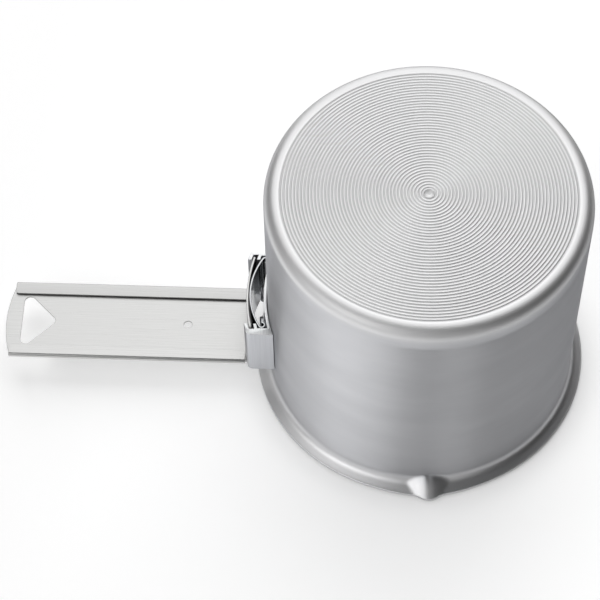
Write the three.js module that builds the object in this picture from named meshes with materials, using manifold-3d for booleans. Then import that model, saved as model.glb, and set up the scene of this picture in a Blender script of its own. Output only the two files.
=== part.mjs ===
// A one litre camping pot, upside down on its rim, with a strip handle that slides into a wall bracket.
// Millimetres, +Z up. The origin is the middle of the base's outer face, the handle points along -X and the
// spout close to -Y. The pieces stand above the rim plane and the whole group is lowered by the pot's height.
import * as THREE from 'three';
import { mergeVertices } from 'three/addons/utils/BufferGeometryUtils.js';
import Module from 'manifold-3d';

const wasm = await Module();
wasm.setup();

// Clearance between pieces that touch
const gap = 0.3;

// Pot shell
const potHeight = 106;
const wallRadius = 57.5;
const wallThickness = 1.2;
const baseThickness = 2;
const baseCornerRadius = 4.3;
const flareRadius = 3.5;
const rimRadius = 62.5;
const rimEdgeRound = 0.3;
const potSegments = 64;

// Rings turned into the base
const groovePitch = 1.2;
const grooveDepth = 0.3;
const grooveInset = 0.03;
const centreLandRadius = 1.8;
const grooveSegments = 32;

// Pouring spout
const spoutReach = 2.8;
const spoutHeight = 6.2;
const spoutSlope = 0.72;
const spoutRidgeRound = 2.4;
const spoutFootBlend = 0.9;
const spoutDraw = 1.1;
const spoutDrawWidth = 14;
const spoutTurn = 4;
const spoutCrowding = 0.7;

// Handle strip
const stripThickness = 0.8;
const stripWidth = 33;
const tongueWidth = 31;
const handleTipReach = 158.2;
const handleTipArch = 2.9;
const hemLip = 5.2;
const hemGap = 0.8;
const hemPinch = 0.5;
const hangHoleBase = 27;
const hangHoleDepth = 13.5;
const hangHoleEdge = 6.1;
const hangHoleRound = 2.2;
const pinHoleDiameter = 3.2;
const pinHoleReach = 88.6;
const bendRadius = 0.8;
const tongueTopDrop = 0.4;

// Handle bracket
const bracketBottom = 13.8;
const bracketHeight = 25;
const bracketBack = 1.2;
const chamberDepth = 3.6;
const ribThickness = 1.2;
const groovePlay = 0.8;
const grooveEndRoom = 0.7;
const lipThickness = 1.4;
const lipOverlap = 1.5;
const endWallThickness = 2.6;
const bracketCornerRound = 1.5;

// Leaf spring behind the tongue
const springThickness = 0.6;
const springCurlRadius = 1.1;
const springCurlTurn = 250;
const springHeightDrop = 0.3;

// Rivets
const rivetSpacing = 14;
const rivetShank = 4.2;
const rivetHead = 9;
const rivetHeadHeight = 1.5;
const rivetUpset = 7;
const rivetUpsetHeight = 1.4;
const rivetHeadRound = 0.6;
const rivetSegments = 20;

// Sizes that follow from those above
const wallInner = wallRadius - wallThickness;
const backInner = wallRadius + gap;
const backOuter = backInner + bracketBack;
const chamberOuter = backOuter + chamberDepth;
const grooveInner = chamberOuter + ribThickness;
const tongueInner = grooveInner + groovePlay;
const tongueOuter = tongueInner + stripThickness;
const grooveOuter = tongueOuter + gap;
const bracketOuter = grooveOuter + lipThickness;
const halfStrip = stripWidth / 2;
const halfTongue = tongueWidth / 2;
const grooveHalf = halfTongue + grooveEndRoom;
const chamberHalf = grooveHalf - gap;
const bracketHalf = grooveHalf + endWallThickness;
const mouthHalf = halfTongue - lipOverlap;
const bracketTop = bracketBottom + bracketHeight;
const webTop = bracketBottom - gap;
const webBottom = webTop - stripThickness;
const hemFold = stripThickness + hemGap / 2;
const halfWeb = halfStrip - hemFold;
const handleRoot = Math.sqrt(bracketOuter ** 2 - mouthHalf ** 2) + gap;
const hemEnd = handleTipReach - handleTipArch;
const rivetHeight = bracketBottom + bracketHeight / 2;
const rivetTurn = Math.asin(rivetSpacing / 2 / wallRadius);

const materials = {
  spunAluminium: new THREE.MeshStandardMaterial({ color: 0xc9cbce, roughness: 0.35, metalness: 1 }),
  extrudedAluminium: new THREE.MeshStandardMaterial({ color: 0xbfc3c8, roughness: 0.45, metalness: 1 }),
  brushedSteel: new THREE.MeshStandardMaterial({ color: 0xd2d2d0, roughness: 0.3, metalness: 1 }),
  springSteel: new THREE.MeshStandardMaterial({ color: 0x9a9da1, roughness: 0.3, metalness: 1 }),
  rivetAluminium: new THREE.MeshStandardMaterial({ color: 0xc4c6c9, roughness: 0.4, metalness: 1 }),
};

// Points along an arc about a centre, angles in degrees, both ends included
function arc(centreX, centreY, radius, from, to, steps) {
  const points = [];
  for (let i = 0; i <= steps; i += 1) {
    const angle = THREE.MathUtils.degToRad(from + ((to - from) * i) / steps);
    points.push(new THREE.Vector2(centreX + radius * Math.cos(angle), centreY + radius * Math.sin(angle)));
  }
  return points;
}

function point(x, y) {
  return new THREE.Vector2(x, y);
}

// A revolved solid about Z from a profile of radius and height
function revolve(profile, segments) {
  return new THREE.LatheGeometry(profile, segments).rotateX(Math.PI / 2);
}

function extrude(outline, depth, holes = []) {
  const shape = new THREE.Shape(outline);
  shape.holes.push(...holes.map((hole) => new THREE.Path(hole)));
  return new THREE.ExtrudeGeometry(shape, { depth, bevelEnabled: false, steps: 1 });
}

// A closed manifold from a geometry, without the triangles that collapse on a lathe's axis
function solid(geometry) {
  const bare = geometry.index ? geometry.clone() : geometry;
  bare.deleteAttribute('normal');
  bare.deleteAttribute('uv');
  const merged = mergeVertices(bare, 1e-5);
  const index = merged.index.array;
  const triangles = [];
  for (let i = 0; i < index.length; i += 3) {
    const [a, b, c] = [index[i], index[i + 1], index[i + 2]];
    if (a !== b && b !== c && c !== a) triangles.push(a, b, c);
  }
  const vertProperties = new Float32Array(merged.attributes.position.array);
  const triVerts = new Uint32Array(triangles);
  return new wasm.Manifold(new wasm.Mesh({ numProp: 3, vertProperties, triVerts }));
}

function geometryOf(manifold) {
  const mesh = manifold.getMesh();
  const geometry = new THREE.BufferGeometry();
  geometry.setAttribute('position', new THREE.BufferAttribute(new Float32Array(mesh.vertProperties), 3));
  geometry.setIndex(new THREE.BufferAttribute(new Uint32Array(mesh.triVerts), 1));
  geometry.computeVertexNormals();
  return geometry;
}

function piece(name, geometry, material) {
  const mesh = new THREE.Mesh(geometry, material);
  mesh.name = name;
  return mesh;
}

// The shell's section: down the inside from the axis, round the flared rim and up the outside to the base
function potProfile() {
  const flareTop = wallThickness + flareRadius;
  const flareCentre = wallRadius + flareRadius;
  const innerCorner = baseCornerRadius - wallThickness;
  const innerTop = potHeight - baseThickness;
  const edge = rimRadius - rimEdgeRound;
  const spoutRings = [1.2, 1, 0.8].map((share) => flareTop + (spoutHeight - flareTop) * share);
  return [
    point(0, innerTop),
    ...arc(wallInner - innerCorner, innerTop - innerCorner, innerCorner, 90, 0, 5),
    ...spoutRings.map((z) => point(wallInner, z)),
    ...arc(flareCentre, flareTop, flareRadius + wallThickness, 180, 270, 7),
    ...arc(edge, rimEdgeRound, rimEdgeRound, -90, 0, 2),
    ...arc(edge, wallThickness - rimEdgeRound, rimEdgeRound, 0, 90, 2),
    ...arc(flareCentre, flareTop, flareRadius, 270, 180, 7),
    ...spoutRings.toReversed().map((z) => point(wallRadius, z)),
    ...arc(wallRadius - baseCornerRadius, potHeight - baseCornerRadius, baseCornerRadius, 0, 90, 6),
    point(0, potHeight),
  ];
}

// The point of the shell's outside that a point of its section lies behind
function outsideOf(radius, height) {
  const centre = point(wallRadius + flareRadius, wallThickness + flareRadius);
  if (height >= centre.y) return point(wallRadius, height);
  if (radius >= centre.x) return point(radius, wallThickness);
  return point(radius, height).sub(centre).setLength(flareRadius).add(centre);
}

// How far the spout's two flats and the drawn rim beside them stand out from a point of the outside
function spoutPush(outside, across) {
  const flareShare = (outside.x - wallRadius) / (rimRadius - wallRadius);
  const drawn = spoutDraw * flareShare * Math.exp(-((across / spoutDrawWidth) ** 2));
  const climb = (outside.y - wallThickness) / (spoutHeight - wallThickness);
  const ridge = THREE.MathUtils.lerp(rimRadius + spoutReach, wallRadius, climb);
  const aside = Math.hypot(across, spoutRidgeRound) - spoutRidgeRound;
  const proud = ridge - spoutSlope * aside - outside.x - drawn;
  if (proud > spoutFootBlend) return drawn + proud;
  return drawn + Math.max(0, proud + spoutFootBlend) ** 2 / (4 * spoutFootBlend);
}

// Crowds the lathe's segments towards the spout and pushes the wall and rim out there
function formSpout(geometry) {
  const position = geometry.attributes.position;
  for (let i = 0; i < position.count; i += 1) {
    const radius = Math.hypot(position.getX(i), position.getY(i));
    const height = position.getZ(i);
    const even = Math.atan2(position.getX(i), -position.getY(i));
    const angle = even - spoutCrowding * Math.sin(even);
    const pushed = radius + spoutPush(outsideOf(radius, height), angle * wallRadius);
    position.setXYZ(i, pushed * Math.sin(angle), -pushed * Math.cos(angle), height);
  }
  return geometry;
}

// A ring whose underside is the zigzag of the turned grooves
function grooveCutter() {
  const outer = wallRadius - baseCornerRadius;
  const count = Math.floor((outer - centreLandRadius) / groovePitch);
  const crest = potHeight - grooveInset;
  const profile = [point(centreLandRadius, potHeight + 1), point(centreLandRadius, crest)];
  for (let i = 0; i < count; i += 1) {
    const start = centreLandRadius + i * groovePitch;
    profile.push(point(start + groovePitch / 2, potHeight - grooveDepth));
    profile.push(point(start + groovePitch, crest));
  }
  profile.push(point(centreLandRadius + count * groovePitch, potHeight + 1), profile[0].clone());
  return solid(revolve(profile, grooveSegments));
}

// A rod along -X at the rivets' height, turned to a rivet's place
function rivetHole(turn) {
  const rod = new THREE.CylinderGeometry(rivetShank / 2 + gap, rivetShank / 2 + gap, wallRadius, 24);
  rod.rotateZ(Math.PI / 2);
  rod.translate(-wallRadius, 0, rivetHeight);
  rod.rotateZ(turn);
  return solid(rod);
}

const rivetTurns = { left: rivetTurn, right: -rivetTurn };
const rivetHoles = rivetHole(rivetTurns.left).add(rivetHole(rivetTurns.right));

function potBody() {
  const turned = formSpout(revolve(potProfile(), potSegments)).rotateZ(THREE.MathUtils.degToRad(spoutTurn));
  const shell = solid(turned);
  return geometryOf(shell.subtract(grooveCutter()).subtract(rivetHoles));
}

// Points on a circle about the pot's axis between two distances from the handle's centre line
function ringArc(radius, fromAcross, toAcross, steps) {
  const from = THREE.MathUtils.radToDeg(Math.asin(fromAcross / radius));
  const to = THREE.MathUtils.radToDeg(Math.asin(toAcross / radius));
  return arc(0, 0, radius, 180 - from, 180 - to, steps);
}

// One side of the channel: round its outer corner, in over the lip, along the tongue's groove and the rib
function channelSide(side) {
  const outer = Math.sqrt(bracketOuter ** 2 - bracketHalf ** 2);
  const front = ringArc(bracketOuter, side * (bracketHalf - bracketCornerRound), side * mouthHalf, 3);
  const corner = new THREE.QuadraticBezierCurve(
    point(-(outer - bracketCornerRound), side * bracketHalf),
    point(-outer, side * bracketHalf),
    front[0],
  );
  return [
    ...corner.getPoints(3).slice(0, -1),
    ...front,
    ...ringArc(grooveOuter, side * mouthHalf, side * grooveHalf, 2),
    ...ringArc(grooveInner, side * grooveHalf, side * mouthHalf, 2),
    ...ringArc(chamberOuter, side * mouthHalf, side * chamberHalf, 2),
  ];
}

function handleBracket() {
  const outline = [
    ...ringArc(backInner, -bracketHalf, bracketHalf, 12),
    ...channelSide(1),
    ...ringArc(backOuter, chamberHalf, -chamberHalf, 10),
    ...channelSide(-1).reverse(),
  ];
  const body = extrude(outline, bracketHeight).translate(0, 0, bracketBottom);
  return geometryOf(solid(body).subtract(rivetHoles));
}

// A strip of even thickness on both sides of a line of points
function strip(line, thickness) {
  const offset = (side) =>
    line.map((here, i) => {
      const before = line[Math.max(i - 1, 0)];
      const after = line[Math.min(i + 1, line.length - 1)];
      const along = after.clone().sub(before).normalize();
      return point(here.x - side * along.y * (thickness / 2), here.y + side * along.x * (thickness / 2));
    });
  return [...offset(1), ...offset(-1).reverse()];
}

// The bow touches the tongue at its crown, and runs into two curls seated in the chamber's corners
function lockSpring() {
  const curlOuter = springCurlRadius + springThickness / 2;
  const across = chamberHalf - gap - curlOuter;
  const out = Math.sqrt((backOuter + gap + curlOuter) ** 2 - across ** 2);
  const crown = tongueInner - gap - springThickness / 2;
  const drop = out - crown;
  const bow = (springCurlRadius ** 2 - drop ** 2 - across ** 2) / (2 * (drop + springCurlRadius));
  const bend = THREE.MathUtils.radToDeg(Math.atan2(across, out - crown + bow));
  const centre = -(crown - bow);
  const line = [
    ...arc(-out, across, springCurlRadius, 180 - bend - springCurlTurn, 180 - bend, 12).slice(0, -1),
    ...arc(centre, 0, bow, 180 - bend, 180 + bend, 16),
    ...arc(-out, -across, springCurlRadius, 180 + bend, 180 + bend + springCurlTurn, 12).slice(1),
  ];
  const height = bracketHeight - 2 * springHeightDrop;
  return extrude(strip(line, springThickness), height).translate(0, 0, bracketBottom + springHeightDrop);
}

// A triangle with round corners, its flat side towards the handle's tip
function hangHole() {
  const flat = -(handleTipReach - hangHoleEdge);
  const corners = [
    point(flat, hangHoleBase / 2),
    point(flat, -hangHoleBase / 2),
    point(flat + hangHoleDepth, 0),
  ];
  const hole = [];
  corners.forEach((corner, i) => {
    const before = corners[(i + 2) % 3].clone().sub(corner).normalize();
    const after = corners[(i + 1) % 3].clone().sub(corner).normalize();
    const halfAngle = Math.acos(before.dot(after)) / 2;
    const bisector = before.clone().add(after).normalize();
    const centre = corner.clone().addScaledVector(bisector, hangHoleRound / Math.sin(halfAngle));
    const middle = THREE.MathUtils.radToDeg(Math.atan2(-bisector.y, -bisector.x));
    const spread = 90 - THREE.MathUtils.radToDeg(halfAngle);
    hole.push(...arc(centre.x, centre.y, hangHoleRound, middle - spread, middle + spread, 5));
  });
  return hole;
}

// The tongue and its bend, revolved about the pot's axis and cut to the tongue's width
function tongue() {
  const outerBend = bendRadius + stripThickness;
  const top = bracketTop - tongueTopDrop;
  const reach = Math.hypot(handleRoot + gap, halfTongue);
  const profile = [
    point(tongueInner, top),
    ...arc(tongueInner + outerBend, webBottom + outerBend, outerBend, 180, 270, 5),
    point(reach, webBottom),
    point(reach, webTop),
    ...arc(tongueOuter + bendRadius, webTop + bendRadius, bendRadius, 270, 180, 4),
    point(tongueOuter, top),
  ];
  const ring = solid(revolve([...profile, profile[0].clone()], 96));
  const slab = new THREE.BoxGeometry(reach, tongueWidth, 2 * potHeight).translate(-reach, 0, 0);
  return ring.intersect(solid(slab));
}

// One long edge folded back over the web, its lip pinched towards the web and cut square at the tip
function hem(side) {
  const section = [
    point(halfWeb - stripThickness, 0),
    ...arc(halfWeb, hemFold, hemFold, -90, 90, 8),
    point(halfStrip - hemLip, 2 * hemFold - hemPinch),
    point(halfStrip - hemLip, stripThickness + hemGap - hemPinch),
    ...arc(halfWeb, hemFold, hemGap / 2, 90, -90, 6),
    point(halfWeb - stripThickness, stripThickness),
  ];
  const run = extrude(section, hemEnd - handleRoot).rotateZ(-Math.PI / 2).rotateY(-Math.PI / 2);
  const placed = solid(run.translate(-handleRoot, 0, webBottom));
  return side > 0 ? placed.mirror([0, 1, 0]) : placed;
}

// The web with its arched tip and two holes, joined to the hems and the tongue
function handle() {
  const tipRadius = (halfStrip ** 2 + handleTipArch ** 2) / (2 * handleTipArch);
  const tipSpread = THREE.MathUtils.radToDeg(Math.asin(halfStrip / tipRadius));
  const tip = arc(-(handleTipReach - tipRadius), 0, tipRadius, 180 - tipSpread, 180 + tipSpread, 12);
  const root = [point(-handleRoot, -halfStrip), point(-handleRoot, halfStrip)];
  const trim = extrude([...root, ...tip], bracketHeight);
  const flat = [
    point(-handleRoot, halfWeb),
    point(-handleTipReach, halfWeb),
    point(-handleTipReach, -halfWeb),
    point(-handleRoot, -halfWeb),
  ];
  const pinHole = arc(-pinHoleReach, 0, pinHoleDiameter / 2, 0, 345, 23);
  const web = extrude(flat, stripThickness, [hangHole(), pinHole]).translate(0, 0, webBottom);
  const arched = solid(web).intersect(solid(trim.translate(0, 0, webBottom)));
  return geometryOf(arched.add(hem(1)).add(hem(-1)).add(tongue()));
}

// Flat head inside the pot, shank through wall and bracket, upset head in the chamber
function rivet() {
  const headSeat = wallInner - gap;
  const upsetSeat = backOuter + gap;
  const headTop = headSeat - rivetHeadHeight;
  const upsetTop = upsetSeat + rivetUpsetHeight;
  const profile = [
    point(0, headTop),
    ...arc(rivetHead / 2 - rivetHeadRound, headTop + rivetHeadRound, rivetHeadRound, -90, 0, 3),
    point(rivetHead / 2, headSeat),
    point(rivetShank / 2, headSeat),
    point(rivetShank / 2, upsetSeat),
    point(rivetUpset / 2, upsetSeat),
    ...arc(rivetUpset / 2 - rivetHeadRound, upsetTop - rivetHeadRound, rivetHeadRound, 0, 90, 3),
    point(0, upsetTop),
  ];
  return new THREE.LatheGeometry(profile, rivetSegments).rotateZ(Math.PI / 2);
}

const pot = new THREE.Group();
pot.position.z = -potHeight;
pot.add(piece('pot_body', potBody(), materials.spunAluminium));
pot.add(piece('handle_bracket', handleBracket(), materials.extrudedAluminium));
pot.add(piece('lock_spring', lockSpring(), materials.springSteel));
pot.add(piece('handle', handle(), materials.brushedSteel));
for (const [side, turn] of Object.entries(rivetTurns)) {
  const place = new THREE.Group();
  place.rotation.z = turn;
  const mesh = piece(`bracket_rivet_${side}`, rivet(), materials.rivetAluminium);
  mesh.position.z = rivetHeight;
  place.add(mesh);
  pot.add(place);
}

export default pot;
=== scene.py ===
import math

import bmesh
import bpy
from mathutils import Matrix, Vector


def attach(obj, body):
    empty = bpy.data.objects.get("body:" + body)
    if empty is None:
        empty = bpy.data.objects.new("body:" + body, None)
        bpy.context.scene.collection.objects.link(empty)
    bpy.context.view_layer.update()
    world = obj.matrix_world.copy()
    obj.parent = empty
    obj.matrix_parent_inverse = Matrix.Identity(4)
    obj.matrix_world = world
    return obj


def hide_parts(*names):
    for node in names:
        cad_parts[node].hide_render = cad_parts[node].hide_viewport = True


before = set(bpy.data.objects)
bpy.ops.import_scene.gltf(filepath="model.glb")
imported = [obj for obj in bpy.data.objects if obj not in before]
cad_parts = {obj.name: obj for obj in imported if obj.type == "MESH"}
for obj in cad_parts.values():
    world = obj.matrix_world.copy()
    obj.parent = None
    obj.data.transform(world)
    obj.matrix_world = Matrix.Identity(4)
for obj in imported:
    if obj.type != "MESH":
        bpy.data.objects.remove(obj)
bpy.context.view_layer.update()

scene = bpy.context.scene
scene.view_settings.view_transform = "Standard"

# Drawn in millimetres above the rim's plane, then brought to metres with the base at the origin
toMetres = 0.001
upAxis = Vector((0, 0, 1))
acrossAxis = Vector((0, 1, 0))
alongAxis = Vector((1, 0, 0))
closeEnough = 0.001  # millimetres
mergeDistance = 0.0005
quarters = (0.25, 0.5, 0.75, 1)


# A section is drawn like a pen line: straight runs by extruding a vertex, arcs by spinning it
def startAt(bm, x, y, z):
    return bm.verts.new((x, y, z))


def lineTo(bm, vert, x, y, z):
    tip = bmesh.ops.extrude_vert_indiv(bm, verts=[vert])["verts"][0]
    tip.co = (x, y, z)
    return tip


def vertsIn(geom):
    return [item for item in geom if isinstance(item, bmesh.types.BMVert)]


def edgesIn(geom):
    return [item for item in geom if isinstance(item, bmesh.types.BMEdge)]


def arcTo(bm, vert, centre, axis, degrees, steps):
    angle = math.radians(degrees)
    swept = bmesh.ops.spin(bm, geom=[vert], cent=centre, axis=axis, angle=angle, steps=steps)
    return vertsIn(swept["geom_last"])[0]


def closeLoop(bm, first, last):
    bm.edges.new((last, first))


def spinSection(bm, steps):
    section = bm.verts[:] + bm.edges[:]
    bmesh.ops.spin(bm, geom=section, cent=(0, 0, 0), axis=upAxis, angle=math.tau,
                   steps=steps, use_merge=True)
    bmesh.ops.remove_doubles(bm, verts=bm.verts, dist=mergeDistance)
    bmesh.ops.recalc_face_normals(bm, faces=bm.faces)


def pieceFrom(bm, name, materials, smoothAngle):
    bmesh.ops.scale(bm, vec=(toMetres,) * 3, verts=bm.verts)
    bmesh.ops.translate(bm, vec=(0, 0, -potShape["height"] * toMetres), verts=bm.verts)
    mesh = bpy.data.meshes.new(name)
    bm.to_mesh(mesh)
    bm.free()
    for material in materials:
        mesh.materials.append(material)
    mesh.shade_smooth()
    mesh.set_sharp_from_angle(angle=math.radians(smoothAngle))
    piece = bpy.data.objects.new(name, mesh)
    scene.collection.objects.link(piece)
    return piece


def thicken(piece, thickness):
    sheet = piece.modifiers.new("sheet", "SOLIDIFY")
    sheet.thickness = thickness * toMetres
    sheet.offset = 0
    sheet.use_even_offset = True


def softenEdges(piece, width, angle=50):
    edge = piece.modifiers.new("edge", "BEVEL")
    edge.width = width * toMetres
    edge.segments = 2
    edge.limit_method = "ANGLE"
    edge.angle_limit = math.radians(angle)
    flats = piece.modifiers.new("flats", "WEIGHTED_NORMAL")
    flats.keep_sharp = True


# Every metal starts from the same shader and gets its own grain
def newMetal(name):
    material = bpy.data.materials.new(name)
    material.use_nodes = True
    shader = material.node_tree.nodes["Principled BSDF"]
    shader.inputs["Metallic"].default_value = 1
    return material, material.node_tree.nodes, material.node_tree.links, shader


def objectPlace(nodes):
    return nodes.new("ShaderNodeTexCoord").outputs["Object"]


def stretched(nodes, links, place, scale):
    mapping = nodes.new("ShaderNodeMapping")
    mapping.inputs["Scale"].default_value = scale
    links.new(place, mapping.inputs["Vector"])
    return mapping.outputs["Vector"]


def grain(nodes, links, place, scale, detail, fineness=0.5):
    noise = nodes.new("ShaderNodeTexNoise")
    noise.inputs["Scale"].default_value = scale
    noise.inputs["Detail"].default_value = detail
    noise.inputs["Roughness"].default_value = fineness
    links.new(place, noise.inputs["Vector"])
    return noise.outputs["Fac"]


def ramped(nodes, links, value, low, high, start=0.3, end=0.7):
    ramp = nodes.new("ShaderNodeMapRange")
    ramp.inputs["From Min"].default_value = start
    ramp.inputs["From Max"].default_value = end
    ramp.inputs["To Min"].default_value = low
    ramp.inputs["To Max"].default_value = high
    links.new(value, ramp.inputs["Value"])
    return ramp.outputs["Result"]


def tinted(nodes, links, value, dark, light):
    ramp = nodes.new("ShaderNodeValToRGB")
    ramp.color_ramp.elements[0].position = 0.3
    ramp.color_ramp.elements[0].color = (*dark, 1)
    ramp.color_ramp.elements[1].position = 0.7
    ramp.color_ramp.elements[1].color = (*light, 1)
    links.new(value, ramp.inputs["Fac"])
    return ramp.outputs["Color"]


def embossed(nodes, links, shader, height, strength, distance):
    bump = nodes.new("ShaderNodeBump")
    bump.inputs["Strength"].default_value = strength
    bump.inputs["Distance"].default_value = distance
    links.new(height, bump.inputs["Height"])
    links.new(bump.outputs["Normal"], shader.inputs["Normal"])


# Spun shell: satin rings round the wall draw the gloss out, and base, corner and rim are brighter; the
# corner's lighter band is a painted highlight, and the darker groove bottoms are painted shade
# Pairs of heights or radii, in metres, say where one finish passes into the next
shellFinish = {
    "dark": (0.65, 0.655, 0.675), "light": (0.72, 0.725, 0.745), "rough": (0.4, 0.49),
    "drawn": 0.95, "drawnTurn": 0.25, "drawnFrom": (-0.0035, -0.0095), "edge": (0.15, 0.15, 0.16),
    "rimTint": (0.84, 0.84, 0.85), "rim": (-0.1028, -0.1),
    "baseDark": (0.88, 0.88, 0.885), "baseLight": (0.94, 0.94, 0.945), "baseRough": (0.5, 0.58),
    "cornerPaintedHighlight": (0.79, 0.79, 0.795), "corner": (-0.002, -0.0065),
    "groovePaintedShade": (0.66, 0.66, 0.665), "groove": (-0.00024, -0.00005), "land": (0.0522, 0.0532),
    "fineScale": 3200, "wideScale": 22, "wideStretch": (1, 1, 3), "detail": 3,
    "bump": 0.3, "bumpDepth": 0.00003,
}


def mixed(nodes, links, share, first, second):
    blend = nodes.new("ShaderNodeMix")
    links.new(share, blend.inputs["Factor"])
    links.new(first, blend.inputs["A"])
    links.new(second, blend.inputs["B"])
    return blend.outputs["Result"]


def mixedTint(nodes, links, share, first, second):
    blend = nodes.new("ShaderNodeMix")
    blend.data_type = "RGBA"
    links.new(share, blend.inputs["Factor"])
    links.new(first, blend.inputs[6])
    links.new(second, blend.inputs[7])
    return blend.outputs[2]


def blended(nodes, links, share, tint, other):
    blend = nodes.new("ShaderNodeMix")
    blend.data_type = "RGBA"
    blend.inputs[6].default_value = (*tint, 1)
    links.new(share, blend.inputs["Factor"])
    links.new(other, blend.inputs[7])
    return blend.outputs[2]


def product(nodes, links, first, second):
    times = nodes.new("ShaderNodeMath")
    times.operation = "MULTIPLY"
    links.new(first, times.inputs[0])
    links.new(second, times.inputs[1])
    return times.outputs["Value"]


def spunAluminium():
    look = shellFinish
    material, nodes, links, shader = newMetal("spunAluminium")
    shader.inputs["Anisotropic Rotation"].default_value = look["drawnTurn"]
    shader.inputs["Specular Tint"].default_value = (*look["edge"], 1)
    around = nodes.new("ShaderNodeTangent")
    around.direction_type = "RADIAL"
    around.axis = "Z"
    links.new(around.outputs["Tangent"], shader.inputs["Tangent"])
    place = objectPlace(nodes)
    parts = nodes.new("ShaderNodeSeparateXYZ")
    links.new(place, parts.inputs["Vector"])
    flat = nodes.new("ShaderNodeCombineXYZ")
    links.new(parts.outputs["X"], flat.inputs["X"])
    links.new(parts.outputs["Y"], flat.inputs["Y"])
    radius = nodes.new("ShaderNodeVectorMath")
    radius.operation = "LENGTH"
    links.new(flat.outputs["Vector"], radius.inputs[0])
    ring = nodes.new("ShaderNodeCombineXYZ")
    links.new(radius.outputs["Value"], ring.inputs["X"])
    links.new(parts.outputs["Z"], ring.inputs["Y"])
    fine = grain(nodes, links, ring.outputs["Vector"], look["fineScale"], look["detail"])
    wideAlong = stretched(nodes, links, place, look["wideStretch"])
    wide = grain(nodes, links, wideAlong, look["wideScale"], look["detail"])
    height = parts.outputs["Z"]
    aboveRim = ramped(nodes, links, height, 0, 1, *look["rim"])
    belowCorner = ramped(nodes, links, height, 0, 1, *look["corner"])
    drawn = ramped(nodes, links, height, 0, look["drawn"], *look["drawnFrom"])
    links.new(product(nodes, links, aboveRim, drawn), shader.inputs["Anisotropic"])
    wallTint = tinted(nodes, links, wide, look["dark"], look["light"])
    sideTint = blended(nodes, links, aboveRim, look["rimTint"], wallTint)
    # Painted shade: the groove bottoms take a darker tint than the crests
    outOfGroove = ramped(nodes, links, height, 0, 1, *look["groove"])
    crestTint = tinted(nodes, links, fine, look["baseDark"], look["baseLight"])
    ringGrainAndShade = blended(nodes, links, outOfGroove, look["groovePaintedShade"], crestTint)
    # Painted highlight: the corner and the top few millimetres of the wall take a lighter tint than the
    # wall below
    onBase = ramped(nodes, links, radius.outputs["Value"], 1, 0, *look["land"])
    turnedTintWithPaintedLight = blended(nodes, links, onBase, look["cornerPaintedHighlight"], ringGrainAndShade)
    links.new(mixedTint(nodes, links, belowCorner, turnedTintWithPaintedLight, sideTint), shader.inputs["Base Color"])
    baseRough = ramped(nodes, links, fine, *look["baseRough"])
    satinRough = ramped(nodes, links, fine, *look["rough"])
    links.new(mixed(nodes, links, belowCorner, baseRough, satinRough), shader.inputs["Roughness"])
    embossed(nodes, links, shader, fine, look["bump"], look["bumpDepth"])
    return material


# Grained metals: the stretch draws one noise out into scratches, die lines, saw marks or rolling lines
handleFinish = {
    "dark": (0.44, 0.44, 0.435), "light": (0.55, 0.55, 0.545), "rough": (0.26, 0.38),
    "stretch": (0.012, 1, 1), "scale": 3600, "detail": 4, "fineness": 0.65,
    "bump": 0.3, "bumpDepth": 0.00003,
}
bracketFinish = {
    "dark": (0.51, 0.52, 0.545), "light": (0.6, 0.61, 0.635), "rough": (0.34, 0.46),
    "stretch": (1, 1, 0.01), "scale": 2600, "detail": 3, "fineness": 0.5,
    "bump": 0.3, "bumpDepth": 0.00004,
}
sawnFinish = {
    "dark": (0.76, 0.77, 0.78), "light": (0.94, 0.95, 0.95), "rough": (0.4, 0.55),
    "stretch": (1, 0.05, 1), "scale": 3000, "detail": 3, "fineness": 0.5,
    "bump": 0.4, "bumpDepth": 0.00005,
}
# Spring steel tinted darker than bright steel: partly its own grey, partly painted shade of the dark
# chamber it stands in
springShadedFinish = {
    "dark": (0.4, 0.41, 0.42), "light": (0.5, 0.51, 0.52), "rough": (0.06, 0.11),
    "stretch": (0.05, 0.05, 1), "scale": 2400, "detail": 3, "fineness": 0.5,
    "bump": 0.25, "bumpDepth": 0.00003,
}
rivetFinish = {
    "dark": (0.42, 0.43, 0.44), "light": (0.54, 0.55, 0.56), "rough": (0.32, 0.5),
    "stretch": (1, 1, 1), "scale": 900, "detail": 4, "fineness": 0.6,
    "bump": 0.3, "bumpDepth": 0.00005,
}


def grainedMetal(name, look):
    material, nodes, links, shader = newMetal(name)
    place = stretched(nodes, links, objectPlace(nodes), look["stretch"])
    marks = grain(nodes, links, place, look["scale"], look["detail"], look["fineness"])
    links.new(tinted(nodes, links, marks, look["dark"], look["light"]), shader.inputs["Base Color"])
    links.new(ramped(nodes, links, marks, *look["rough"]), shader.inputs["Roughness"])
    embossed(nodes, links, shader, marks, look["bump"], look["bumpDepth"])
    return material


shellSkin = spunAluminium()
steelSkin = grainedMetal("brushedSteel", handleFinish)  # long scratches along the sheet
extrudedSkin = grainedMetal("extrudedAluminium", bracketFinish)  # die lines up the extrusion
sawnSkin = grainedMetal("sawnAluminium", sawnFinish)  # the saw's marks across the cut ends
springSkin = grainedMetal("springSteel", springShadedFinish)  # cold-rolled, smoother than the handle
rivetSkin = grainedMetal("rivetAluminium", rivetFinish)  # dull flow marks of the press
print("materials ready")

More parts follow.
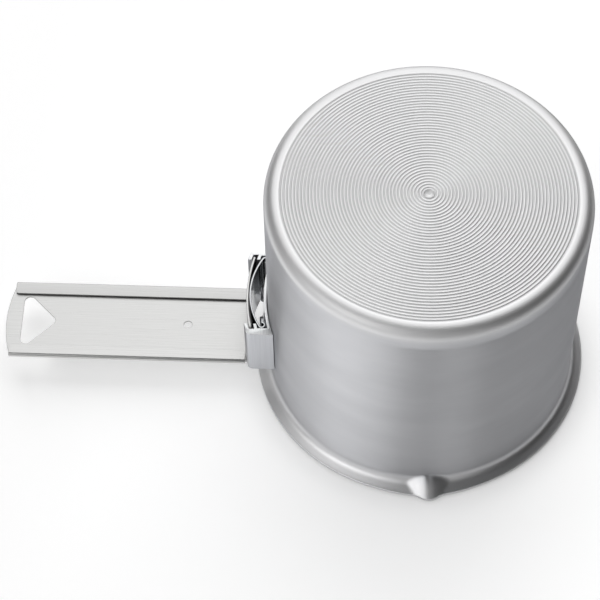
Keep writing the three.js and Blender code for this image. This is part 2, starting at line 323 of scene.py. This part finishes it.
# Pot shell: one section spun round the axis, with the turned rings in its base
potShape = {
    "height": 106, "wallRadius": 57.5, "wall": 1.2, "base": 2, "corner": 4.3,
    "flare": 3.5, "rimRadius": 62.34, "rimEdge": 0.3, "droop": 24, "neck": 4, "steps": 240,
    "cornerSteps": 14, "innerSteps": 8, "flareSteps": 12, "edgeSteps": 4, "smooth": 50,
}
ringShape = {
    "pitch": 1.2, "depth": 0.25, "crest": 0.03, "land": 1.8, "points": 6,
    "dish": 0.08, "dimple": 0.7, "dimpleDepth": 0.5,
}
spoutShape = {
    "reach": 2.8, "height": 6.2, "slope": 0.72, "ridgeRound": 2.4, "footBlend": 0.9,
    "draw": 1.1, "drawWidth": 14, "turn": 4, "crowding": 0.7, "rings": 6, "margin": 1,
}


def drawRings(bm, vert):
    edge = potShape["wallRadius"] - potShape["corner"]
    count = math.floor((edge - ringShape["land"]) / ringShape["pitch"])
    points = ringShape["points"]
    swing = ringShape["depth"] - ringShape["crest"]
    for step in range(count * points + 1):
        radius = ringShape["land"] + (count - step / points) * ringShape["pitch"]
        dip = ringShape["crest"] + swing * (0.5 - 0.5 * math.cos(math.tau * step / points))
        vert = lineTo(bm, vert, radius, 0, potShape["height"] - dip)
    return vert


# Centre of the round between the wall and the rim, which droops to its edge
def neckCentre():
    neck, droop = potShape["neck"], math.radians(potShape["droop"])
    radius = potShape["wallRadius"] + neck
    fall = (potShape["rimRadius"] - potShape["rimEdge"] - radius) * math.sin(droop)
    return Vector((radius, potShape["wall"] + (neck + fall) / math.cos(droop)))


# The point of the outside that a point of the section lies behind
def outsideOf(radius, height):
    neck, droop = potShape["neck"], math.radians(potShape["droop"])
    lip = potShape["rimRadius"] - potShape["rimEdge"]
    centre = neckCentre()
    if height >= centre.y:
        return Vector((potShape["wallRadius"], height))
    if radius >= centre.x - neck * math.sin(droop):
        return Vector((radius, potShape["wall"] + max(0, lip - radius) * math.tan(droop)))
    return centre + (Vector((radius, height)) - centre).normalized() * neck


# Two flats that meet in a ridge, and the rim drawn out a little on both sides of them
def spoutPush(outside, across):
    shape = spoutShape
    wallRadius, rimRadius = potShape["wallRadius"], potShape["rimRadius"]
    drawn = shape["draw"] * (outside.x - wallRadius) / (rimRadius - wallRadius)
    drawn *= math.exp(-(across / shape["drawWidth"]) ** 2)
    climb = (outside.y - potShape["wall"]) / (shape["height"] - potShape["wall"])
    ridge = rimRadius + shape["reach"] - climb * (rimRadius + shape["reach"] - wallRadius)
    aside = math.hypot(across, shape["ridgeRound"]) - shape["ridgeRound"]
    proud = ridge - shape["slope"] * aside - outside.x - drawn
    if proud > shape["footBlend"]:
        return drawn + proud
    return drawn + max(0, proud + shape["footBlend"]) ** 2 / (4 * shape["footBlend"])


def pressSpout(bm):
    for vert in bm.verts:
        radius = vert.co.xy.length
        even = math.atan2(vert.co.x, -vert.co.y)
        angle = even - spoutShape["crowding"] * math.sin(even)
        radius += spoutPush(outsideOf(radius, vert.co.z), angle * potShape["wallRadius"])
        vert.co.xy = radius * math.sin(angle), -radius * math.cos(angle)


def makePot():
    height, wallRadius, wall = potShape["height"], potShape["wallRadius"], potShape["wall"]
    corner, flare, rimEdge = potShape["corner"], potShape["flare"], potShape["rimEdge"]
    rings = spoutShape["rings"]
    inner = wallRadius - wall
    ceiling = height - potShape["base"]
    innerCorner = corner - wall
    flareTop = wall + flare
    lip = potShape["rimRadius"] - rimEdge
    spoutTop = spoutShape["height"] + spoutShape["margin"]
    bm = bmesh.new()
    vert = startAt(bm, 0, 0, ceiling)  # inside, from the middle of the base out and down to the rim
    floorEdge = inner - innerCorner
    for share in quarters:
        vert = lineTo(bm, vert, share * floorEdge, 0, ceiling)
    vert = arcTo(bm, vert, (floorEdge, 0, ceiling - innerCorner), acrossAxis, 90, potShape["innerSteps"])
    for step in range(rings + 1):
        vert = lineTo(bm, vert, inner, 0, spoutTop + (flareTop - spoutTop) * step / rings)
    vert = arcTo(bm, vert, (wallRadius + flare, 0, flareTop), acrossAxis, -90, potShape["flareSteps"])
    vert = lineTo(bm, vert, lip, 0, 0)
    vert = arcTo(bm, vert, (lip, 0, rimEdge), acrossAxis, -90, potShape["edgeSteps"])
    vert = lineTo(bm, vert, potShape["rimRadius"], 0, wall - rimEdge)
    vert = arcTo(bm, vert, (lip, 0, wall - rimEdge), acrossAxis, -90, potShape["edgeSteps"])
    centre, droop = neckCentre(), math.radians(potShape["droop"])  # outside, back up to the base
    foot = centre - potShape["neck"] * Vector((math.sin(droop), math.cos(droop)))
    for share in quarters:
        vert = lineTo(bm, vert, lip + (foot.x - lip) * share, 0, wall + (foot.y - wall) * share)
    neckTurn = 90 - potShape["droop"]
    vert = arcTo(bm, vert, (centre.x, 0, centre.y), acrossAxis, neckTurn, potShape["flareSteps"])
    for step in range(1, rings + 1):
        vert = lineTo(bm, vert, wallRadius, 0, centre.y + (spoutTop - centre.y) * step / rings)
    for share in quarters:
        vert = lineTo(bm, vert, wallRadius, 0, spoutTop + (height - corner - spoutTop) * share)
    cornerCentre = (wallRadius - corner, 0, height - corner)
    vert = arcTo(bm, vert, cornerCentre, acrossAxis, -90, potShape["cornerSteps"])
    vert = drawRings(bm, vert)
    top = height - ringShape["crest"]
    vert = lineTo(bm, vert, ringShape["land"] - ringShape["dish"], 0, top - ringShape["dish"])
    vert = lineTo(bm, vert, ringShape["dimple"], 0, top - ringShape["dish"])
    lineTo(bm, vert, 0, 0, top - ringShape["dimpleDepth"])
    spinSection(bm, potShape["steps"])
    pressSpout(bm)
    turn = Matrix.Rotation(math.radians(spoutShape["turn"]), 3, "Z")
    bmesh.ops.rotate(bm, cent=(0, 0, 0), matrix=turn, verts=bm.verts)
    pot = pieceFrom(bm, "potShell", [shellSkin], potShape["smooth"])
    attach(pot, "pot")
    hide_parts("pot_body")
    return pot


potShell = makePot()
print("pot spun:", len(potShell.data.polygons), "faces")

# Bracket: the extrusion's section drawn once, closed and pushed up to its cut length
bracketShape = {
    "bottom": 13.8, "height": 25, "backInner": 57.8, "backOuter": 59, "chamberOuter": 62.6,
    "grooveInner": 63.8, "grooveOuter": 65.7, "outer": 67.1, "grooveHalf": 16.2, "chamberHalf": 15.9,
    "half": 18.8, "mouthHalf": 14, "cornerRound": 1.5, "edge": 0.12, "backSteps": 24, "lipSteps": 4,
    "smooth": 30,
}


def ringPoint(radius, across):
    return -math.sqrt(radius ** 2 - across ** 2), across


def ringTo(bm, vert, radius, across, steps):
    x, y = ringPoint(radius, across)
    z = vert.co.z
    if abs(math.hypot(vert.co.x, vert.co.y) - radius) > closeEnough:
        return lineTo(bm, vert, x, y, z)
    turn = math.degrees(math.asin(vert.co.y / radius) - math.asin(across / radius))
    return arcTo(bm, vert, (0, 0, z), upAxis, turn, steps)


def isUpright(edge):
    return abs(edge.verts[0].co.z - edge.verts[1].co.z) > closeEnough


def makeBracket():
    shape = bracketShape
    z = shape["bottom"]
    bm = bmesh.new()
    x, y = ringPoint(shape["backInner"], -shape["half"])
    first = startAt(bm, x, y, z)
    vert = ringTo(bm, first, shape["backInner"], shape["half"], shape["backSteps"])
    cornerX, cornerY = ringPoint(shape["outer"], shape["half"])
    vert = lineTo(bm, vert, cornerX, cornerY, z)
    stops = [
        ("outer", "mouthHalf"), ("grooveOuter", "mouthHalf"), ("grooveOuter", "grooveHalf"),
        ("grooveInner", "grooveHalf"), ("grooveInner", "mouthHalf"), ("chamberOuter", "mouthHalf"),
        ("chamberOuter", "chamberHalf"), ("backOuter", "chamberHalf"),
    ]
    for radius, across in stops:
        vert = ringTo(bm, vert, shape[radius], shape[across], shape["lipSteps"])
    vert = ringTo(bm, vert, shape["backOuter"], -shape["chamberHalf"], shape["backSteps"])
    for radius, across in reversed(stops[:-1]):
        vert = ringTo(bm, vert, shape[radius], -shape[across], shape["lipSteps"])
    vert = ringTo(bm, vert, shape["outer"], -shape["half"], shape["lipSteps"])
    closeLoop(bm, first, vert)
    section = bmesh.ops.contextual_create(bm, geom=bm.edges[:])["faces"]
    raised = bmesh.ops.extrude_face_region(bm, geom=section)["geom"]
    bmesh.ops.translate(bm, vec=(0, 0, shape["height"]), verts=vertsIn(raised))
    bmesh.ops.recalc_face_normals(bm, faces=bm.faces)
    outerCorners = [edge for edge in bm.edges if isUpright(edge)
                    and abs(abs(edge.verts[0].co.y) - shape["half"]) < closeEnough
                    and edge.verts[0].co.x < -shape["backOuter"]]
    bmesh.ops.bevel(bm, geom=outerCorners, offset=shape["cornerRound"], segments=6, profile=0.5,
                    affect="EDGES", material=-1)
    for face in bm.faces:  # the cut ends are the faces that look up or down
        face.material_index = 1 if abs(face.normal.z) > 0.9 else 0
    rims = [edge for edge in bm.edges if not isUpright(edge)]
    bmesh.ops.bevel(bm, geom=rims, offset=shape["edge"], segments=2, profile=0.5,
                    affect="EDGES", material=-1)
    bracket = pieceFrom(bm, "wallBracket", [extrudedSkin, sawnSkin], shape["smooth"])
    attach(bracket, "pot")
    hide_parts("handle_bracket")
    return bracket


wallBracket = makeBracket()
print("bracket cut:", len(wallBracket.data.polygons), "faces")

# Leaf spring: a strip stood on edge, its bow between two curls
springShape = {
    "thickness": 0.6, "curl": 1.1, "curlTurn": 250, "across": 14.2, "crown": 64, "drop": 0.3,
    "gap": 0.3, "edge": 0.08, "curlSteps": 20, "bowSteps": 40, "smooth": 40,
}


def makeSpring():
    shape = springShape
    curl, across = shape["curl"], shape["across"]
    seat = bracketShape["backOuter"] + shape["gap"] + curl + shape["thickness"] / 2
    out = math.sqrt(seat ** 2 - across ** 2)
    fall = out - shape["crown"]
    bow = (curl ** 2 - fall ** 2 - across ** 2) / (2 * (fall + curl))
    bend = math.degrees(math.atan2(across, fall + bow))
    z = bracketShape["bottom"] + shape["drop"]
    curlStart = math.radians(180 - bend - shape["curlTurn"])
    bm = bmesh.new()
    vert = startAt(bm, -out + curl * math.cos(curlStart), across + curl * math.sin(curlStart), z)
    vert = arcTo(bm, vert, (-out, across, z), upAxis, shape["curlTurn"], shape["curlSteps"])
    vert = arcTo(bm, vert, (-(shape["crown"] - bow), 0, z), upAxis, 2 * bend, shape["bowSteps"])
    arcTo(bm, vert, (-out, -across, z), upAxis, shape["curlTurn"], shape["curlSteps"])
    raised = bmesh.ops.extrude_edge_only(bm, edges=bm.edges[:])["geom"]
    rise = bracketShape["height"] - 2 * shape["drop"]
    bmesh.ops.translate(bm, vec=(0, 0, rise), verts=vertsIn(raised))
    bmesh.ops.recalc_face_normals(bm, faces=bm.faces)
    spring = pieceFrom(bm, "leafSpring", [springSkin], shape["smooth"])
    thicken(spring, shape["thickness"])
    softenEdges(spring, shape["edge"])
    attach(spring, "pot")
    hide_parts("lock_spring")


makeSpring()
print("spring bent")

# Handle: a flat blank with its two holes, then the hems and the tongue folded from its edges
handleShape = {
    "thickness": 0.8, "half": 16.5, "tipReach": 158.2, "tipArch": 2.9, "root": 65.92, "level": 13.1,
    "hemLip": 5.2, "hemGap": 0.8, "hemPinch": 0.5, "hemShortest": 40, "lipRound": 1.2,
    "tongueHalf": 15.5, "tongueRadius": 65, "tongueTop": 38.4, "bend": 1.2, "edge": 0.12,
    "arcSteps": 32, "hemSteps": 12, "bendSteps": 8, "lipSteps": 5, "smooth": 30,
}
holeShape = {
    "base": 27, "depth": 13.5, "fromTip": 6.1, "round": 2.2, "roundSteps": 10,
    "pinRadius": 1.6, "pinReach": 88.6, "pinSteps": 32,
}


def tipRadius():
    half, arch = handleShape["half"], handleShape["tipArch"]
    return (half ** 2 + arch ** 2) / (2 * arch)


def tipPlace(across):
    radius = tipRadius()
    return -(handleShape["tipReach"] - radius + math.sqrt(radius ** 2 - across ** 2))


# Half the flat between the two hems
def webHalf():
    return handleShape["half"] - handleShape["thickness"] - handleShape["hemGap"] / 2


def drawBlank(bm):
    shape = handleShape
    level = shape["level"]
    halfWeb = webHalf()
    bendStart = shape["tongueRadius"] + shape["bend"]
    tongueHalf = shape["tongueHalf"]
    x, y = ringPoint(bendStart, -tongueHalf)
    first = startAt(bm, x, y, level)
    vert = ringTo(bm, first, bendStart, tongueHalf, shape["arcSteps"])
    vert = lineTo(bm, vert, -shape["root"], halfWeb, level)
    vert = lineTo(bm, vert, tipPlace(halfWeb), halfWeb, level)
    radius = tipRadius()
    sweep = 2 * math.degrees(math.asin(halfWeb / radius))
    vert = arcTo(bm, vert, (radius - shape["tipReach"], 0, level), upAxis, sweep, shape["arcSteps"])
    vert = lineTo(bm, vert, -shape["root"], -halfWeb, level)
    closeLoop(bm, first, vert)


def drawHangHole(bm):
    level = handleShape["level"]
    flat = -(handleShape["tipReach"] - holeShape["fromTip"])
    half = holeShape["base"] / 2
    corners = [Vector((flat, half)), Vector((flat, -half)), Vector((flat + holeShape["depth"], 0))]
    first = vert = None
    for index, corner in enumerate(corners):
        before = (corners[index - 1] - corner).normalized()
        after = (corners[(index + 1) % 3] - corner).normalized()
        halfAngle = math.acos(before.dot(after)) / 2
        setback = holeShape["round"] / math.tan(halfAngle)
        enter = corner + before * setback
        centre = corner + (before + after).normalized() * holeShape["round"] / math.sin(halfAngle)
        if vert is None:
            first = vert = startAt(bm, enter.x, enter.y, level)
        else:
            vert = lineTo(bm, vert, enter.x, enter.y, level)
        turn = 180 - math.degrees(2 * halfAngle)
        vert = arcTo(bm, vert, (centre.x, centre.y, level), upAxis, turn, holeShape["roundSteps"])
    closeLoop(bm, first, vert)


def foldHem(bm, side):
    shape = handleShape
    halfWeb = webHalf()
    edges = [edge for edge in bm.edges if edge.calc_length() > shape["hemShortest"]
             and all(abs(vert.co.y - side * halfWeb) < closeEnough for vert in edge.verts)]
    hinge = (0, side * halfWeb, shape["level"] + (shape["thickness"] + shape["hemGap"]) / 2)
    folded = bmesh.ops.spin(bm, geom=edges, cent=hinge, axis=alongAxis, angle=side * math.pi,
                            steps=shape["hemSteps"])
    lip = bmesh.ops.extrude_edge_only(bm, edges=edgesIn(folded["geom_last"]))["geom"]
    lipVerts = vertsIn(lip)
    inward = shape["hemLip"] - (shape["thickness"] + shape["hemGap"] / 2)
    bmesh.ops.translate(bm, vec=(0, -side * inward, -shape["hemPinch"]), verts=lipVerts)
    return lipVerts


def raiseTongue(bm):
    shape = handleShape
    bendStart = shape["tongueRadius"] + shape["bend"]
    edges = [edge for edge in bm.edges
             if all(abs(vert.co.xy.length - bendStart) < closeEnough for vert in edge.verts)]
    stops = []
    for step in range(1, shape["bendSteps"] + 1):
        angle = math.radians(90 * step / shape["bendSteps"])
        rise = shape["bend"] * (1 - math.cos(angle))
        stops.append((bendStart - shape["bend"] * math.sin(angle), shape["level"] + rise))
    stops.append((shape["tongueRadius"], shape["tongueTop"]))
    for radius, height in stops:
        grown = bmesh.ops.extrude_edge_only(bm, edges=edges)["geom"]
        edges = edgesIn(grown)
        for vert in vertsIn(grown):
            x, y = ringPoint(radius, vert.co.y)
            vert.co = (x, y, height)


def makeHandle():
    shape = handleShape
    bm = bmesh.new()
    drawBlank(bm)
    drawHangHole(bm)
    pinPlace = Matrix.Translation((-holeShape["pinReach"], 0, shape["level"]))
    bmesh.ops.create_circle(bm, segments=holeShape["pinSteps"], radius=holeShape["pinRadius"],
                            matrix=pinPlace)
    bmesh.ops.triangle_fill(bm, use_beauty=True, edges=bm.edges[:], normal=upAxis)
    lips = foldHem(bm, 1) + foldHem(bm, -1)
    bmesh.ops.bevel(bm, geom=lips, offset=shape["lipRound"], segments=shape["lipSteps"], profile=0.5,
                    affect="VERTICES", material=-1)
    raiseTongue(bm)
    bmesh.ops.recalc_face_normals(bm, faces=bm.faces)
    handle = pieceFrom(bm, "stripHandle", [steelSkin], shape["smooth"])
    thicken(handle, shape["thickness"])
    softenEdges(handle, shape["edge"])
    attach(handle, "handle")
    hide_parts("handle")


makeHandle()
print("handle folded")

# Rivets: a turned section spun round its own axis, then laid along the wall's radius
rivetShape = {
    "spacing": 14, "height": 26.3, "shank": 2.1, "head": 4.5, "headHeight": 1.5, "upset": 3.5,
    "upsetHeight": 1.4, "headSeat": 56, "upsetSeat": 59.3, "round": 0.6, "roundSteps": 6, "steps": 48,
    "smooth": 40,
}


def makeRivet(name, node, side):
    shape = rivetShape
    rounding, roundSteps = shape["round"], shape["roundSteps"]
    headTop = shape["headSeat"] - shape["headHeight"]
    upsetTop = shape["upsetSeat"] + shape["upsetHeight"]
    bm = bmesh.new()
    vert = startAt(bm, 0, 0, headTop)
    vert = lineTo(bm, vert, shape["head"] - rounding, 0, headTop)
    headCentre = (shape["head"] - rounding, 0, headTop + rounding)
    vert = arcTo(bm, vert, headCentre, acrossAxis, -90, roundSteps)
    vert = lineTo(bm, vert, shape["head"], 0, shape["headSeat"])
    vert = lineTo(bm, vert, shape["shank"], 0, shape["headSeat"])
    vert = lineTo(bm, vert, shape["shank"], 0, shape["upsetSeat"])
    vert = lineTo(bm, vert, shape["upset"], 0, shape["upsetSeat"])
    vert = lineTo(bm, vert, shape["upset"], 0, upsetTop - rounding)
    upsetCentre = (shape["upset"] - rounding, 0, upsetTop - rounding)
    vert = arcTo(bm, vert, upsetCentre, acrossAxis, -90, roundSteps)
    lineTo(bm, vert, 0, 0, upsetTop)
    spinSection(bm, shape["steps"])
    outward = Matrix.Rotation(-math.pi / 2, 3, "Y")
    turn = Matrix.Rotation(side * math.asin(shape["spacing"] / 2 / potShape["wallRadius"]), 3, "Z")
    bmesh.ops.rotate(bm, cent=(0, 0, 0), matrix=turn @ outward, verts=bm.verts)
    bmesh.ops.translate(bm, vec=(0, 0, shape["height"]), verts=bm.verts)
    rivet = pieceFrom(bm, name, [rivetSkin], shape["smooth"])
    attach(rivet, "pot")
    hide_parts(node)


makeRivet("rivetLeft", "bracket_rivet_left", 1)
makeRivet("rivetRight", "bracket_rivet_right", -1)
print("rivets set")

# Floor and light: the floor glows for the eye and for the metal, brighter on the left in the metal's
# reflections, and dims where the pot stands on it, a painted contact shadow
studio = {
    "floorSize": 12.0, "floorColour": (0.9, 0.9, 0.9), "floorGap": 0.001, "contact": 0.016,
    "glowSpan": (-0.157, 0.055), "floorGlow": (0.41, 0.545), "mirroredGlow": (0.65, 0.23),
    "farSpan": (0.4, 1.4), "farGlow": 0.5, "worldLevel": 0.0015,
}
softboxes = {
    "overBack": {"place": (0, 0.85, 1.25), "size": (1.6, 1.6), "power": 13.3},
    "lowBack": {"place": (0, 1.5, 0.4), "size": (1.8, 0.7), "power": 5.5},
    "leftSide": {"place": (-1.09, -0.29, 0.48), "size": (0.9, 0.9), "power": 0.8},
    "leftFront": {"place": (-0.65, -0.93, 0.48), "size": (0.9, 0.9), "power": 2.5},
    "rightFront": {"place": (0.39, -1.06, 0.48), "size": (0.45, 0.9), "power": 0.8},
    "highLeft": {"place": (-0.9, -0.7, 1.2), "size": (1, 1), "power": 5},
}


def makeFloor():
    bm = bmesh.new()
    bmesh.ops.create_grid(bm, x_segments=4, y_segments=4, size=studio["floorSize"] / 2)
    depth = potShape["height"] * toMetres + studio["floorGap"]
    bmesh.ops.translate(bm, vec=(0, 0, -depth), verts=bm.verts)
    mesh = bpy.data.meshes.new("floor")
    bm.to_mesh(mesh)
    bm.free()
    material = bpy.data.materials.new("paleFloor")
    material.use_nodes = True
    nodes, links = material.node_tree.nodes, material.node_tree.links
    nodes.clear()
    diffuse = nodes.new("ShaderNodeBsdfDiffuse")
    diffuse.inputs["Color"].default_value = (*studio["floorColour"], 1)
    glow = nodes.new("ShaderNodeEmission")
    path = nodes.new("ShaderNodeLightPath")
    mirrored = nodes.new("ShaderNodeMath")
    mirrored.operation = "MAXIMUM"
    links.new(path.outputs["Is Glossy Ray"], mirrored.inputs[0])
    links.new(path.outputs["Is Transmission Ray"], mirrored.inputs[1])
    place = objectPlace(nodes)
    parts = nodes.new("ShaderNodeSeparateXYZ")
    links.new(place, parts.inputs["Vector"])
    across = parts.outputs["X"]
    nearGlow = ramped(nodes, links, across, *studio["floorGlow"], *studio["glowSpan"])
    # Painted light: the glow the metal sees falls from bright on the left to dim on the right
    mirroredGlow = ramped(nodes, links, across, *studio["mirroredGlow"], *studio["glowSpan"])
    distance = nodes.new("ShaderNodeVectorMath")
    distance.operation = "LENGTH"
    links.new(place, distance.inputs[0])
    farGlow = ramped(nodes, links, distance.outputs["Value"], 0, studio["farGlow"], *studio["farSpan"])
    seen = nodes.new("ShaderNodeMath")  # the far floor stays white where the light falls off
    links.new(nearGlow, seen.inputs[0])
    links.new(farGlow, seen.inputs[1])
    level = nodes.new("ShaderNodeMath")
    level.operation = "MULTIPLY_ADD"
    links.new(mirrored.outputs["Value"], level.inputs[0])
    links.new(mirroredGlow, level.inputs[1])
    toEye = product(nodes, links, path.outputs["Is Camera Ray"], seen.outputs["Value"])
    links.new(toEye, level.inputs[2])
    # Painted contact shadow: the glow is dimmed by ambient occlusion close to the pot
    contact = nodes.new("ShaderNodeAmbientOcclusion")
    contact.inputs["Distance"].default_value = studio["contact"]
    dimmed = product(nodes, links, level.outputs["Value"], contact.outputs["AO"])
    links.new(dimmed, glow.inputs["Strength"])
    both = nodes.new("ShaderNodeAddShader")
    links.new(diffuse.outputs["BSDF"], both.inputs[0])
    links.new(glow.outputs["Emission"], both.inputs[1])
    output = nodes.new("ShaderNodeOutputMaterial")
    links.new(both.outputs["Shader"], output.inputs["Surface"])
    mesh.materials.append(material)
    floor = bpy.data.objects.new("floor", mesh)
    scene.collection.objects.link(floor)
    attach(floor, "handle")  # the pot is lifted off the floor as its handle slides out below


def makeSoftbox(name, box):
    lamp = bpy.data.lights.new(name, "AREA")
    lamp.shape = "RECTANGLE"
    lamp.size, lamp.size_y = box["size"]
    lamp.energy = box["power"]
    softbox = bpy.data.objects.new(name, lamp)
    softbox.visible_camera = False
    softbox.location = box["place"]
    softbox.rotation_euler = (-Vector(box["place"])).to_track_quat("-Z", "Y").to_euler()
    scene.collection.objects.link(softbox)


def makeWorld():
    world = bpy.data.worlds.new("studio")
    world.use_nodes = True
    nodes, links = world.node_tree.nodes, world.node_tree.links
    background = nodes["Background"]
    background.inputs["Color"].default_value = (1, 1, 1, 1)
    path = nodes.new("ShaderNodeLightPath")
    mix = nodes.new("ShaderNodeMix")
    mix.inputs["A"].default_value = studio["worldLevel"]
    mix.inputs["B"].default_value = 1
    links.new(path.outputs["Is Camera Ray"], mix.inputs["Factor"])
    links.new(mix.outputs["Result"], background.inputs["Strength"])
    scene.world = world


makeFloor()
makeWorld()
for boxName, box in softboxes.items():
    makeSoftbox(boxName, box)
print("studio lit")

# Camera as the photograph was taken: from above the spout, handle to the left
cameraShape = {
    "sensor": 36, "lens": 134.14, "place": (-0.01865, -0.43975, 0.63706),
    "yaw": 3.499, "tilt": 31.84, "roll": -1.307,
}


def makeCamera():
    lens = bpy.data.cameras.new("camera")
    lens.sensor_width = cameraShape["sensor"]
    lens.lens = cameraShape["lens"]
    camera = bpy.data.objects.new("camera", lens)
    yaw = Matrix.Rotation(math.radians(cameraShape["yaw"]), 4, "Z")
    tilt = Matrix.Rotation(math.radians(cameraShape["tilt"]), 4, "X")
    roll = Matrix.Rotation(math.radians(cameraShape["roll"]), 4, "Z")
    camera.matrix_world = Matrix.Translation(cameraShape["place"]) @ yaw @ tilt @ roll
    scene.collection.objects.link(camera)
    scene.camera = camera


makeCamera()
print("camera set")
